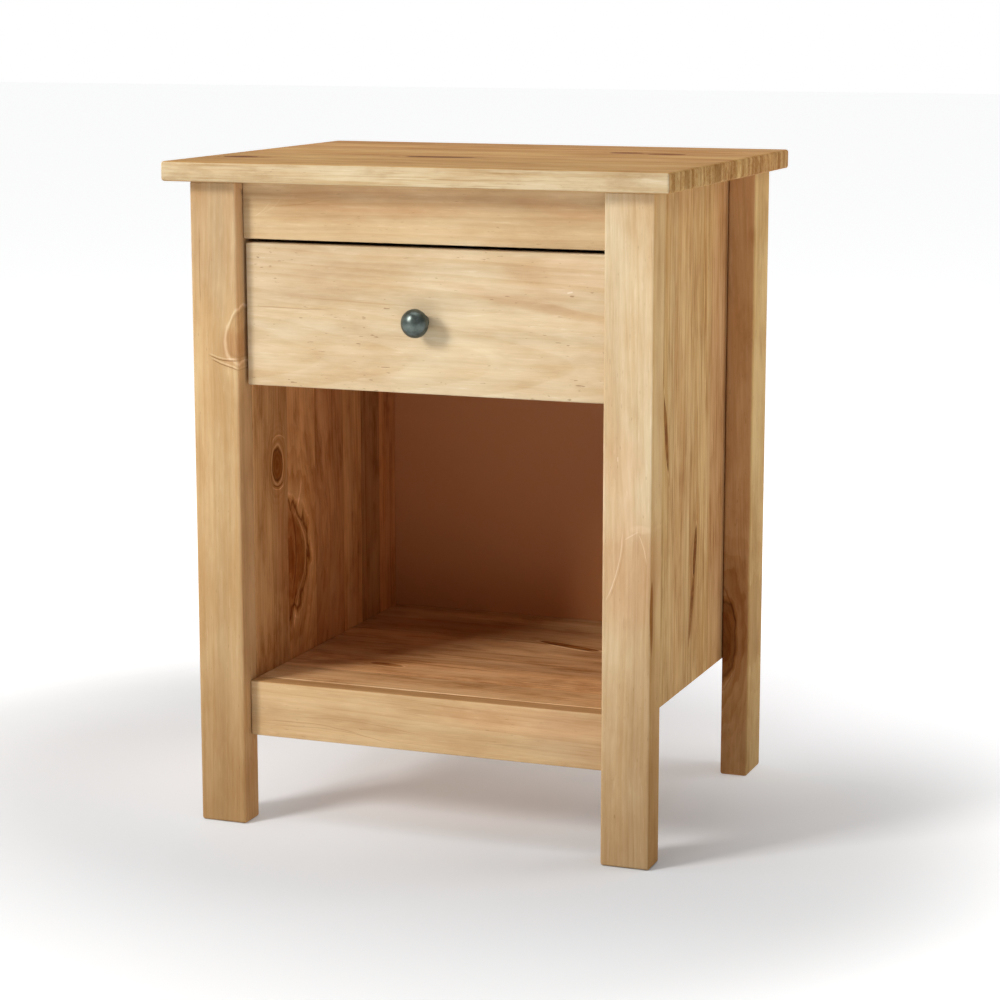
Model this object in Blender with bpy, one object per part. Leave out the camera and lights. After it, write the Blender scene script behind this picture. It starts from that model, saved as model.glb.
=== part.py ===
"""Bedside table in solid pine, with one drawer above an open shelf.

Metres, +Z up. The origin is on the floor, under the middle of the top board.
The front faces -Y, and +X is the right-hand side of the table seen from the front.
Two glued side frames (front leg, side panel, back leg) carry the rails, the shelf, the
thin back panel and the top. The drawer hangs on two wooden runners that lie in grooves
in its sides, and it slides out along -Y.
"""

import math

import bmesh
import bpy
from mathutils import Matrix, Vector

# Driving dimensions of the table
WIDTH = 0.480
DEPTH = 0.390
HEIGHT = 0.620
BOARD = 0.018  # planed pine board: top, side panels, shelf, rails and drawer front
GAP = 0.0003  # between two faces that touch
PAST = 0.001  # how far a cut reaches past the face that it opens
SIDES = (("left", -1), ("right", 1))

# Sanded edges
EASE_LARGE = 0.0025
EASE_SMALL = 0.0014
EASE_SHEET = 0.0004

# Legs and the overhang of the top over them
SIDE_OVERHANG = 0.0184
FRONT_OVERHANG = 0.0204
REAR_OVERHANG = 0.0008
FRONT_LEG_WIDTH = 0.046
FRONT_LEG_DEPTH = 0.0293
BACK_LEG_WIDTH = 0.0275
BACK_LEG_DEPTH = 0.049

# Rails, panels and shelf
RAIL_SETBACK = 0.014  # the rails and the drawer front lie this far behind the front legs
RAIL_HEIGHT = 0.0525
REAR_RAIL_HEIGHT = 0.050
SHELF_TOP = 0.136
BACK_SHEET = 0.003

# Drawer
DRAWER_FRONT_HEIGHT = 0.1306
DRAWER_TOP_GAP = 0.0034
DRAWER_SIDE_GAP = 0.0028
DRAWER_SIDE_THICKNESS = 0.014
DRAWER_SIDE_HEIGHT = 0.110
DRAWER_SIDE_LENGTH = 0.307
DRAWER_SIDE_INSET = 0.0004  # of the side's outer face from the end of the drawer front
DRAWER_SIDE_RISE = 0.006  # of the side's lower edge above the drawer front's
DRAWER_BACK_THICKNESS = 0.012
DRAWER_BACK_INSET = 0.010  # of the drawer's back from the rear ends of its sides
DRAWER_SHEET = 0.0032
DRAWER_HOUSING = 0.005  # how deep the drawer's back and bottom sit in its sides
HOUSING_PLAY = 0.0006
DRAWER_BOTTOM_RISE = 0.008  # of the bottom sheet above the sides' lower edges

# Runners and pull-out stops
RUNNER_HEIGHT = 0.012
RUNNER_PLAY = 0.0008
RUNNER_PAST = 0.010  # of the runner past the rear ends of the closed drawer's sides
RUNNER_SCREW_LENGTH = 0.021
GROOVE_DEPTH = 0.007
GROOVE_RISE = 0.049  # of the groove's lower edge above the side's lower edge
GROOVE_START = 0.0244  # from the back of the drawer front to the groove's closed end
DRAWER_TRAVEL = 0.255
STOP_THICKNESS = 0.008
STOP_LENGTH = 0.014
STOP_RISE = 0.026
STOP_TONGUE = 0.008

# Knob, turned in metal
KNOB_PROJECTION = 0.0252
KNOB_HEAD_RADIUS = 0.0131
KNOB_NECK_RADIUS = 0.0046
KNOB_BASE_RADIUS = 0.0078
KNOB_BASE_THICKNESS = 0.0026
KNOB_NECK_START = 0.0036  # distances from the drawer front
KNOB_NECK_END = 0.0128
KNOB_RIM = 0.0158
KNOB_BORE_RADIUS = 0.0023
KNOB_BORE_DEPTH = 0.015
KNOB_SCREW_HEAD_RADIUS = 0.0045
KNOB_SCREW_HEAD_LENGTH = 0.0024

# Fasteners
DOWEL_RADIUS = 0.004
SCREW_RADIUS = 0.002
SCREW_HEAD_RADIUS = 0.004
SCREW_HEAD_LENGTH = 0.0026
CAM_RADIUS = 0.0075
CAM_LENGTH = 0.012
CAM_FROM_END = 0.024
BOLT_RADIUS = 0.003
BOLT_IN_LEG = 0.011
BOLT_PLAY = 0.001
DOWEL_IN_LEG = 0.011
DOWEL_IN_PANEL = 0.010
DOWEL_LENGTH = 0.030
TOP_SCREW_LENGTH = 0.034
TOP_SCREW_DEPTH = 0.012  # of the screw's tip in the top board
FASTENER_SIDES = 12

# Places that follow from the driving dimensions
UNDER_TOP = HEIGHT - BOARD
FRONT_EDGE = -DEPTH / 2
LEG_OUTER = WIDTH / 2 - SIDE_OVERHANG
LEG_INNER = LEG_OUTER - FRONT_LEG_WIDTH
LEG_FRONT = FRONT_EDGE + FRONT_OVERHANG
LEG_BACK = LEG_FRONT + FRONT_LEG_DEPTH
REAR = DEPTH / 2 - REAR_OVERHANG
REAR_SHEET_FRONT = REAR - BACK_SHEET
PANEL_OUTER = LEG_OUTER - BACK_LEG_WIDTH - GAP
PANEL_INNER = PANEL_OUTER - BOARD
PANEL_FRONT = LEG_BACK + GAP
PANEL_REAR = REAR_SHEET_FRONT - GAP
PANEL_MIDDLE = (PANEL_OUTER + PANEL_INNER) / 2
BETWEEN_PANELS = PANEL_INNER - GAP
BETWEEN_LEGS = LEG_INNER - GAP
RAIL_FACE = LEG_FRONT + RAIL_SETBACK
RAIL_BACK = RAIL_FACE + BOARD
RAIL_MIDDLE = RAIL_FACE + BOARD / 2
CARCASS_TOP = UNDER_TOP - GAP
APRON_BOTTOM = UNDER_TOP - RAIL_HEIGHT
SHELF_BOTTOM = SHELF_TOP - BOARD
BOTTOM_RAIL_BOTTOM = SHELF_TOP - RAIL_HEIGHT
REAR_RAIL_FRONT = PANEL_REAR - BOARD
DRAWER_TOP = APRON_BOTTOM - DRAWER_TOP_GAP
DRAWER_BOTTOM = DRAWER_TOP - DRAWER_FRONT_HEIGHT
DRAWER_HALF = LEG_INNER - DRAWER_SIDE_GAP
SIDE_OUTER = DRAWER_HALF - DRAWER_SIDE_INSET
SIDE_INNER = SIDE_OUTER - DRAWER_SIDE_THICKNESS
SIDE_MIDDLE = (SIDE_OUTER + SIDE_INNER) / 2
SIDE_FRONT = RAIL_BACK + GAP
SIDE_REAR = SIDE_FRONT + DRAWER_SIDE_LENGTH
SIDE_BOTTOM = DRAWER_BOTTOM + DRAWER_SIDE_RISE
SIDE_TOP = SIDE_BOTTOM + DRAWER_SIDE_HEIGHT
SHEET_BOTTOM = SIDE_BOTTOM + DRAWER_BOTTOM_RISE
SHEET_TOP = SHEET_BOTTOM + DRAWER_SHEET
GROOVE_FRONT = RAIL_BACK + GROOVE_START
GROOVE_FLOOR = SIDE_OUTER - GROOVE_DEPTH
GROOVE_BOTTOM = SIDE_BOTTOM + GROOVE_RISE
GROOVE_TOP = GROOVE_BOTTOM + RUNNER_HEIGHT + 2 * RUNNER_PLAY
RUNNER_MIDDLE = (GROOVE_BOTTOM + GROOVE_TOP) / 2
KNOB_HEIGHT = (DRAWER_TOP + DRAWER_BOTTOM) / 2

# Shapes to cut, kept by the name of the object they are cut from
cutters = {}


def clear_scene():
    for item in list(bpy.data.objects):
        bpy.data.objects.remove(item, do_unlink=True)


def plain_material(name, colour, roughness, metallic=0.0):
    material = bpy.data.materials.new(name)
    material.use_nodes = True
    shader = material.node_tree.nodes["Principled BSDF"]
    shader.inputs["Base Color"].default_value = (*colour, 1.0)
    shader.inputs["Roughness"].default_value = roughness
    shader.inputs["Metallic"].default_value = metallic
    return material


def finish_mesh(name, mesh, place, material, smooth=False):
    """Makes the object of a closed mesh, with its faces turned out."""
    bmesh.ops.recalc_face_normals(mesh, faces=mesh.faces)
    data = bpy.data.meshes.new(name)
    mesh.to_mesh(data)
    mesh.free()
    data.materials.append(material)
    if smooth:
        data.shade_smooth()
        data.set_sharp_from_angle(angle=math.radians(35))
    item = bpy.data.objects.new(name, data)
    item.location = place
    bpy.context.collection.objects.link(item)
    return item


def add_box(mesh, low, high):
    """Adds a box between two corners to a mesh."""
    low = Vector(low)
    high = Vector(high)
    size = high - low
    place = Matrix.Translation((low + high) / 2) @ Matrix.Diagonal((*size, 1.0))
    bmesh.ops.create_cube(mesh, size=1.0, matrix=place)


def board(name, low, high, material, ease=EASE_SMALL, segments=2):
    """A board between two corners, with its edges eased."""
    low = Vector(low)
    high = Vector(high)
    middle = (low + high) / 2
    mesh = bmesh.new()
    add_box(mesh, low - middle, high - middle)
    item = finish_mesh(name, mesh, middle, material)
    bevel = item.modifiers.new("eased_edges", "BEVEL")
    bevel.width = ease
    bevel.segments = segments
    bevel.limit_method = "ANGLE"
    return item


def add_turned(mesh, profile, start, direction, sides):
    """Adds a solid turned about a line. The profile holds (distance along it, radius)."""
    turn = Vector(direction).to_track_quat("Z", "Y")
    rings = []
    for along, radius in profile:
        if radius == 0.0:
            rings.append([mesh.verts.new(Vector(start) + turn @ Vector((0, 0, along)))])
            continue
        ring = []
        for i in range(sides):
            angle = 2 * math.pi * i / sides
            point = Vector((radius * math.cos(angle), radius * math.sin(angle), along))
            ring.append(mesh.verts.new(Vector(start) + turn @ point))
        rings.append(ring)
    for near, far in zip(rings, rings[1:]):
        for i in range(sides):
            j = (i + 1) % sides
            if len(near) == 1:
                mesh.faces.new((near[0], far[i], far[j]))
            elif len(far) == 1:
                mesh.faces.new((near[i], far[0], near[j]))
            else:
                mesh.faces.new((near[i], far[i], far[j], near[j]))
    for ring in (rings[0], rings[-1]):
        if len(ring) > 1:
            mesh.faces.new(ring)


def turned(name, profile, start, direction, material, sides=FASTENER_SIDES):
    """A turned solid whose origin is on its own axis."""
    mesh = bmesh.new()
    add_turned(mesh, profile, (0, 0, 0), direction, sides)
    return finish_mesh(name, mesh, start, material, smooth=True)


def cutter_mesh(name):
    if name not in cutters:
        cutters[name] = bmesh.new()
    return cutters[name]


def cut_box(name, low, high):
    add_box(cutter_mesh(name), low, high)


def cut_turned(names, profile, start, direction, sides=FASTENER_SIDES):
    for name in names:
        add_turned(cutter_mesh(name), profile, start, direction, sides)


def make_cuts():
    """Turns every collected cutter into a hidden object with a Boolean on its target."""
    for name, mesh in cutters.items():
        cutter = finish_mesh("cut_" + name, mesh, (0, 0, 0), bpy.data.materials["pine"])
        cutter.hide_render = True
        cutter.display_type = "WIRE"
        boolean = bpy.data.objects[name].modifiers.new("cuts", "BOOLEAN")
        boolean.operation = "DIFFERENCE"
        boolean.object = cutter


def between(sign, inner, outer):
    """The lower and higher X of a stretch on the left (-1) or right (+1) side."""
    return min(sign * inner, sign * outer), max(sign * inner, sign * outer)


def dowel(name, start, direction, length, targets):
    """A beech dowel, and the bores for it in the pieces that it joins."""
    profile = ((0, DOWEL_RADIUS), (length, DOWEL_RADIUS))
    bore = ((-GAP, DOWEL_RADIUS + GAP), (length + GAP, DOWEL_RADIUS + GAP))
    cut_turned(targets, bore, start, direction)
    return turned(name, profile, start, direction, bpy.data.materials["beech"])


def wood_screw(name, head, direction, length, targets, counterbore=PAST):
    """A countersunk wood screw. Its head lies at the bottom of a counterbore."""
    tip = length - 2 * SCREW_RADIUS
    profile = (
        (0, SCREW_HEAD_RADIUS),
        (SCREW_HEAD_LENGTH, SCREW_RADIUS),
        (tip, SCREW_RADIUS),
        (length, 0.0),
    )
    bore = (
        (-counterbore, SCREW_HEAD_RADIUS + GAP),
        (0, SCREW_HEAD_RADIUS + GAP),
        (SCREW_HEAD_LENGTH, SCREW_RADIUS + 1.5 * GAP),
        (length + GAP, SCREW_RADIUS + 1.5 * GAP),
    )
    cut_turned(targets, bore, head, direction)
    return turned(name, profile, head, direction, bpy.data.materials["zinc"])


def top_panel():
    low = (-WIDTH / 2, FRONT_EDGE, UNDER_TOP)
    high = (WIDTH / 2, DEPTH / 2, HEIGHT)
    board("top_panel", low, high, bpy.data.materials["pine"], EASE_LARGE, 3)


def legs(side, sign):
    pine = bpy.data.materials["pine"]
    x = between(sign, LEG_INNER, LEG_OUTER)
    low = (x[0], LEG_FRONT, 0)
    high = (x[1], LEG_BACK, CARCASS_TOP)
    board("front_leg_" + side, low, high, pine, EASE_LARGE, 3)
    x = between(sign, LEG_OUTER - BACK_LEG_WIDTH, LEG_OUTER)
    low = (x[0], REAR - BACK_LEG_DEPTH, 0)
    high = (x[1], REAR, CARCASS_TOP)
    board("back_leg_" + side, low, high, pine, EASE_LARGE, 3)


def side_panel(side, sign):
    x = between(sign, PANEL_INNER, PANEL_OUTER)
    low = (x[0], PANEL_FRONT, SHELF_BOTTOM)
    high = (x[1], PANEL_REAR, CARCASS_TOP)
    board("side_panel_" + side, low, high, bpy.data.materials["pine"])


def side_frame_dowels(side, sign):
    """Glued dowels from the side panel into both legs of its frame."""
    names = ("low", "high")
    for name, height in zip(names, (0.230, 0.500)):
        start = (sign * PANEL_MIDDLE, LEG_BACK - 0.014, height)
        targets = ("front_leg_" + side, "side_panel_" + side)
        dowel(f"front_leg_dowel_{side}_{name}", start, (0, 1, 0), 0.034, targets)
    for name, height in zip(names, (0.260, 0.480)):
        start = (sign * (PANEL_OUTER - DOWEL_IN_PANEL), REAR - BACK_LEG_DEPTH / 2, height)
        targets = ("back_leg_" + side, "side_panel_" + side)
        dowel(f"back_leg_dowel_{side}_{name}", start, (sign, 0, 0), 0.026, targets)


def rails():
    pine = bpy.data.materials["pine"]
    low = (-BETWEEN_LEGS, RAIL_FACE, APRON_BOTTOM)
    high = (BETWEEN_LEGS, RAIL_BACK, CARCASS_TOP)
    board("apron", low, high, pine)
    low = (-BETWEEN_LEGS, RAIL_FACE, BOTTOM_RAIL_BOTTOM)
    high = (BETWEEN_LEGS, RAIL_BACK, SHELF_TOP)
    board("bottom_rail", low, high, pine)
    low = (-BETWEEN_PANELS, REAR_RAIL_FRONT, UNDER_TOP - REAR_RAIL_HEIGHT)
    high = (BETWEEN_PANELS, PANEL_REAR, CARCASS_TOP)
    board("rear_rail", low, high, pine)


def cam_fitting(rail, side, sign, height):
    """A steel bolt in the leg, pulled into the end of a rail by a cam in its back face."""
    zinc = bpy.data.materials["zinc"]
    targets = (rail, "front_leg_" + side)
    cam_x = sign * (BETWEEN_LEGS - CAM_FROM_END)
    cam_start = (cam_x, RAIL_BACK, height)
    cam_radius = CAM_RADIUS + GAP
    bore = ((-PAST, cam_radius), (CAM_LENGTH + GAP, cam_radius))
    cut_turned((rail,), bore, cam_start, (0, -1, 0), 20)
    cam = f"{rail}_cam_{side}"
    turned(cam, ((0, CAM_RADIUS), (CAM_LENGTH, CAM_RADIUS)), cam_start, (0, -1, 0), zinc, 20)
    # The slot for the bolt's head runs from past the cam's middle out through its rim
    slot = 0.0042
    x = between(sign, abs(cam_x) - 0.003, abs(cam_x) + 2 * CAM_RADIUS)
    low = (x[0], RAIL_MIDDLE - 2 * slot, height - slot)
    high = (x[1], RAIL_MIDDLE + slot, height + slot)
    cut_box(cam, low, high)
    # The screwdriver's slot in the cam's outer end
    low = (cam_x - 0.005, RAIL_BACK - 0.0015, height - 0.0008)
    high = (cam_x + 0.005, RAIL_BACK + PAST, height + 0.0008)
    cut_box(cam, low, high)
    length = BOLT_IN_LEG + CAM_FROM_END
    start = (sign * (LEG_INNER + BOLT_IN_LEG), RAIL_MIDDLE, height)
    profile = (
        (0, BOLT_RADIUS),
        (BOLT_IN_LEG, BOLT_RADIUS),
        (BOLT_IN_LEG, BOLT_RADIUS - 0.0005),
        (length - 0.006, BOLT_RADIUS - 0.0005),
        (length - 0.003, BOLT_RADIUS - 0.0012),
        (length - 0.003, BOLT_RADIUS + 0.0004),
        (length, BOLT_RADIUS + 0.0004),
    )
    turned(f"{rail}_bolt_{side}", profile, start, (-sign, 0, 0), zinc)
    bore = ((-GAP, BOLT_RADIUS + BOLT_PLAY), (length + GAP, BOLT_RADIUS + BOLT_PLAY))
    cut_turned(targets, bore, start, (-sign, 0, 0))


def front_rail_joints(side, sign):
    """Each end of each front rail has a dowel and a cam fitting."""
    heights = {
        "apron": (APRON_BOTTOM + 0.014, APRON_BOTTOM + 0.037),
        "bottom_rail": (SHELF_TOP - 0.013, SHELF_TOP - 0.036),
    }
    for rail, (dowel_height, cam_height) in heights.items():
        start = (sign * (LEG_INNER + DOWEL_IN_LEG), RAIL_MIDDLE, dowel_height)
        targets = (rail, "front_leg_" + side)
        dowel(f"{rail}_dowel_{side}", start, (-sign, 0, 0), DOWEL_LENGTH, targets)
        cam_fitting(rail, side, sign, cam_height)


def rear_rail_joints(side, sign):
    start = (sign * (PANEL_INNER + DOWEL_IN_PANEL), PANEL_REAR - BOARD / 2, UNDER_TOP - 0.025)
    targets = ("rear_rail", "side_panel_" + side)
    dowel("rear_rail_dowel_" + side, start, (-sign, 0, 0), DOWEL_LENGTH, targets)


def shelf():
    low = (-BETWEEN_PANELS, RAIL_BACK + GAP, SHELF_BOTTOM)
    high = (BETWEEN_PANELS, PANEL_REAR, SHELF_TOP)
    board("shelf", low, high, bpy.data.materials["pine"])


def shelf_dowels(side, sign):
    for name, y in (("front", -0.100), ("rear", 0.140)):
        start = (sign * (PANEL_INNER + DOWEL_IN_PANEL), y, SHELF_TOP - BOARD / 2)
        targets = ("shelf", "side_panel_" + side)
        dowel(f"shelf_dowel_{side}_{name}", start, (-sign, 0, 0), DOWEL_LENGTH, targets)


def back_panel():
    half = PANEL_OUTER
    low = (-half, REAR_SHEET_FRONT, SHELF_BOTTOM)
    high = (half, REAR, CARCASS_TOP)
    board("back_panel", low, high, bpy.data.materials["fibreboard"], EASE_SHEET, 1)


def top_screws():
    """Long screws from below, deep in counterbores in the apron and the rear rail."""
    length = TOP_SCREW_LENGTH
    head_height = UNDER_TOP + TOP_SCREW_DEPTH - length
    places = {
        "front": (0.0, RAIL_MIDDLE, "apron", APRON_BOTTOM),
        "rear_left": (-0.120, PANEL_REAR - BOARD / 2, "rear_rail", UNDER_TOP - REAR_RAIL_HEIGHT),
        "rear_right": (0.120, PANEL_REAR - BOARD / 2, "rear_rail", UNDER_TOP - REAR_RAIL_HEIGHT),
    }
    for name, (x, y, rail, rail_bottom) in places.items():
        counterbore = head_height - rail_bottom + PAST
        head = (x, y, head_height)
        targets = (rail, "top_panel")
        wood_screw("top_screw_" + name, head, (0, 0, 1), length, targets, counterbore)


def runner(side, sign):
    """A strip screwed to the side panel. Its front end stops the closed drawer."""
    x = between(sign, GROOVE_FLOOR + RUNNER_PLAY, BETWEEN_PANELS)
    low = (x[0], GROOVE_FRONT + GAP, RUNNER_MIDDLE - RUNNER_HEIGHT / 2)
    high = (x[1], SIDE_REAR + RUNNER_PAST, RUNNER_MIDDLE + RUNNER_HEIGHT / 2)
    name = "drawer_runner_" + side
    board(name, low, high, bpy.data.materials["beech"], 0.0008, 1)
    for place, y in (("front", -0.080), ("rear", 0.120)):
        head = (sign * (GROOVE_FLOOR + RUNNER_PLAY + 0.0005), y, RUNNER_MIDDLE)
        targets = (name, "side_panel_" + side)
        wood_screw(f"runner_screw_{side}_{place}", head, (sign, 0, 0), RUNNER_SCREW_LENGTH, targets)


def drawer_front():
    low = (-DRAWER_HALF, RAIL_FACE, DRAWER_BOTTOM)
    high = (DRAWER_HALF, RAIL_BACK, DRAWER_TOP)
    board("drawer_front", low, high, bpy.data.materials["pine"])
    # The groove for the bottom sheet stops short of both ends
    half = SIDE_INNER + DRAWER_HOUSING + HOUSING_PLAY
    low = (-half, RAIL_BACK - DRAWER_HOUSING - HOUSING_PLAY, SHEET_BOTTOM - HOUSING_PLAY / 2)
    high = (half, RAIL_BACK + PAST, SHEET_TOP + HOUSING_PLAY / 2)
    cut_box("drawer_front", low, high)


def drawer_side(side, sign):
    name = "drawer_side_" + side
    x = between(sign, SIDE_INNER, SIDE_OUTER)
    low = (x[0], SIDE_FRONT, SIDE_BOTTOM)
    high = (x[1], SIDE_REAR, SIDE_TOP)
    board(name, low, high, bpy.data.materials["pine"])
    # Groove for the runner, closed at the front
    x = between(sign, GROOVE_FLOOR, SIDE_OUTER + PAST)
    low = (x[0], GROOVE_FRONT, GROOVE_BOTTOM)
    high = (x[1], SIDE_REAR + PAST, GROOVE_TOP)
    cut_box(name, low, high)
    # Groove for the bottom sheet
    depth = DRAWER_HOUSING + HOUSING_PLAY
    x = between(sign, SIDE_INNER - PAST, SIDE_INNER + depth)
    low = (x[0], SIDE_FRONT - PAST, SHEET_BOTTOM - HOUSING_PLAY / 2)
    high = (x[1], SIDE_REAR + PAST, SHEET_TOP + HOUSING_PLAY / 2)
    cut_box(name, low, high)
    # Housing for the end of the drawer's back
    back_front = SIDE_REAR - DRAWER_BACK_INSET - DRAWER_BACK_THICKNESS
    low = (x[0], back_front - HOUSING_PLAY / 2, SHEET_TOP + HOUSING_PLAY)
    high = (x[1], back_front + DRAWER_BACK_THICKNESS + HOUSING_PLAY / 2, SIDE_TOP + PAST)
    cut_box(name, low, high)
    for place, height in (("low", SIDE_BOTTOM + 0.027), ("high", SIDE_BOTTOM + 0.088)):
        start = (sign * SIDE_MIDDLE, RAIL_BACK - DOWEL_IN_LEG, height)
        targets = ("drawer_front", name)
        dowel(f"drawer_dowel_{side}_{place}", start, (0, 1, 0), DOWEL_LENGTH, targets)


def drawer_back():
    half = SIDE_INNER + DRAWER_HOUSING
    low = (-half, SIDE_REAR - DRAWER_BACK_INSET - DRAWER_BACK_THICKNESS, SHEET_TOP + HOUSING_PLAY + GAP)
    high = (half, SIDE_REAR - DRAWER_BACK_INSET, SIDE_TOP - 0.004)
    board("drawer_back", low, high, bpy.data.materials["pine"])


def drawer_bottom():
    """The sheet slides in from the rear, under the drawer's back."""
    half = SIDE_INNER + DRAWER_HOUSING
    low = (-half, RAIL_BACK - DRAWER_HOUSING, SHEET_BOTTOM)
    high = (half, SIDE_REAR - 0.002, SHEET_TOP)
    board("drawer_bottom", low, high, bpy.data.materials["fibreboard"], EASE_SHEET, 1)


def drawer_stop(side, sign):
    """A plastic lug in the top edge of a drawer side. It meets the apron at full travel."""
    name = "drawer_stop_" + side
    front = RAIL_BACK + DRAWER_TRAVEL + GAP
    middle = front + STOP_LENGTH / 2
    low = SIDE_TOP - STOP_TONGUE
    seat = SIDE_TOP + GAP
    top = SIDE_TOP + STOP_RISE
    tongue = STOP_LENGTH / 2 - 0.003
    half = STOP_LENGTH / 2
    outline = (
        (-tongue, low),
        (tongue, low),
        (tongue, seat),
        (half, seat),
        (half, top - 0.005),
        (half - 0.005, top),
        (-half, top),
        (-half, seat),
        (-tongue, seat),
    )
    mesh = bmesh.new()
    ring = [mesh.verts.new((-STOP_THICKNESS / 2, y, z - seat)) for y, z in outline]
    face = mesh.faces.new(ring)
    grown = bmesh.ops.extrude_face_region(mesh, geom=[face])
    moved = [item for item in grown["geom"] if isinstance(item, bmesh.types.BMVert)]
    bmesh.ops.translate(mesh, vec=(STOP_THICKNESS, 0, 0), verts=moved)
    finish_mesh(name, mesh, (sign * SIDE_MIDDLE, middle, seat), bpy.data.materials["plastic"])
    reach = STOP_THICKNESS / 2 + GAP
    low_corner = (sign * SIDE_MIDDLE - reach, middle - tongue - GAP, low - GAP)
    high_corner = (sign * SIDE_MIDDLE + reach, middle + tongue + GAP, SIDE_TOP + PAST)
    cut_box("drawer_side_" + side, low_corner, high_corner)


def knob_profile():
    """(distance from the drawer front, radius), from the foot out to the top of the dome."""
    profile = [(0.0, KNOB_BASE_RADIUS - 0.0004), (0.0006, KNOB_BASE_RADIUS)]
    profile.append((KNOB_BASE_THICKNESS, KNOB_BASE_RADIUS))
    profile.append((KNOB_NECK_START, KNOB_BASE_RADIUS - 0.0006))
    # The neck is a hollow curve from the foot to the underside of the head
    for i in range(1, 6):
        share = i / 5
        along = KNOB_NECK_START + (KNOB_NECK_END - KNOB_NECK_START) * share
        flare = (share**3) * (KNOB_HEAD_RADIUS - 0.0022 - KNOB_NECK_RADIUS)
        pinch = (KNOB_BASE_RADIUS - 0.0006 - KNOB_NECK_RADIUS) * (1 - share) ** 3
        profile.append((along, KNOB_NECK_RADIUS + pinch + flare))
    # The head: a short rounded rim, then a low dome
    profile.append((KNOB_RIM - 0.0015, KNOB_HEAD_RADIUS - 0.0005))
    profile.append((KNOB_RIM, KNOB_HEAD_RADIUS))
    steps = 7
    for i in range(1, steps):
        angle = math.pi / 2 * i / steps
        along = KNOB_RIM + (KNOB_PROJECTION - KNOB_RIM) * math.sin(angle)
        profile.append((along, KNOB_HEAD_RADIUS * math.cos(angle)))
    profile.append((KNOB_PROJECTION, 0.0))
    return profile


def knob():
    face = (0, RAIL_FACE - GAP, KNOB_HEIGHT)
    turned("knob", knob_profile(), face, (0, -1, 0), bpy.data.materials["dark_metal"], 28)
    bore = ((-PAST, KNOB_BORE_RADIUS), (KNOB_BORE_DEPTH, KNOB_BORE_RADIUS))
    cut_turned(("knob",), bore, face, (0, -1, 0))
    radius = KNOB_BORE_RADIUS - GAP
    head = KNOB_SCREW_HEAD_RADIUS
    thick = KNOB_SCREW_HEAD_LENGTH
    start = (0, RAIL_BACK + GAP + thick, KNOB_HEIGHT)
    length = thick + BOARD + KNOB_BORE_DEPTH - 0.0015
    profile = ((0, head - 0.0008), (0.0008, head), (thick, head), (thick, radius), (length, radius))
    turned("knob_screw", profile, start, (0, -1, 0), bpy.data.materials["zinc"])
    bore = ((-PAST, radius + GAP), (BOARD + 2 * PAST, radius + GAP))
    cut_turned(("drawer_front",), bore, (0, RAIL_BACK, KNOB_HEIGHT), (0, -1, 0))


def hang_drawer():
    """Parents the drawer's pieces to an empty at the middle of the drawer front."""
    slide = bpy.data.objects.new("drawer_slide", None)
    slide.location = (0, RAIL_FACE, KNOB_HEIGHT)
    bpy.context.collection.objects.link(slide)
    bpy.context.view_layer.update()
    for item in list(bpy.data.objects):
        base = item.name.removeprefix("cut_")
        slides = base.startswith("drawer_") and not base.startswith("drawer_runner")
        if item.type == "MESH" and (slides or base.startswith("knob")):
            item.parent = slide
            item.matrix_parent_inverse = slide.matrix_world.inverted()


def build():
    clear_scene()
    plain_material("pine", (0.62, 0.40, 0.20), 0.5)
    plain_material("beech", (0.58, 0.38, 0.22), 0.6)
    plain_material("fibreboard", (0.40, 0.24, 0.13), 0.7)
    plain_material("dark_metal", (0.05, 0.055, 0.055), 0.35, 0.9)
    plain_material("zinc", (0.55, 0.55, 0.56), 0.4, 1.0)
    plain_material("plastic", (0.75, 0.73, 0.68), 0.5)
    top_panel()
    rails()
    shelf()
    back_panel()
    drawer_front()
    drawer_back()
    drawer_bottom()
    knob()
    top_screws()
    for side, sign in SIDES:
        legs(side, sign)
        side_panel(side, sign)
        side_frame_dowels(side, sign)
        front_rail_joints(side, sign)
        rear_rail_joints(side, sign)
        shelf_dowels(side, sign)
        runner(side, sign)
        drawer_side(side, sign)
        drawer_stop(side, sign)
    make_cuts()
    hang_drawer()


build()
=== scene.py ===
"""Looks of the pine bedside table: solid-wood materials, knob, nails, light and camera."""

import math
from collections import namedtuple

import bmesh
import bpy
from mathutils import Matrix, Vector


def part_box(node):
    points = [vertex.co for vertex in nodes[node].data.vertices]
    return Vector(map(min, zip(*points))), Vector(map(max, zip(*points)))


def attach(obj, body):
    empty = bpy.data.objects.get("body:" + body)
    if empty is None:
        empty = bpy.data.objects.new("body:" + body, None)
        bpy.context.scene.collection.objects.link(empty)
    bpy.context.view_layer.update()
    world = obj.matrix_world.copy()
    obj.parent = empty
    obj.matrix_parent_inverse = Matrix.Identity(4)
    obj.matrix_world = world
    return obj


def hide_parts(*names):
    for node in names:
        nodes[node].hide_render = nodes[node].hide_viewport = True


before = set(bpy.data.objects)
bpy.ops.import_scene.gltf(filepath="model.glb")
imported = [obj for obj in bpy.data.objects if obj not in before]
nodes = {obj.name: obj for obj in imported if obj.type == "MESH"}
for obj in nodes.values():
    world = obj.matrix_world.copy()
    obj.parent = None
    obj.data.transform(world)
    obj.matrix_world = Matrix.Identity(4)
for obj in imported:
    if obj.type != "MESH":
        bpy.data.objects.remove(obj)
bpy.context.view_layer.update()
AXES = {"x": 0, "y": 1, "z": 2}

# Linear colours of the lacquered pine
PALE = (0.585, 0.375, 0.185)
HONEY = (0.500, 0.290, 0.128)

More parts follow.
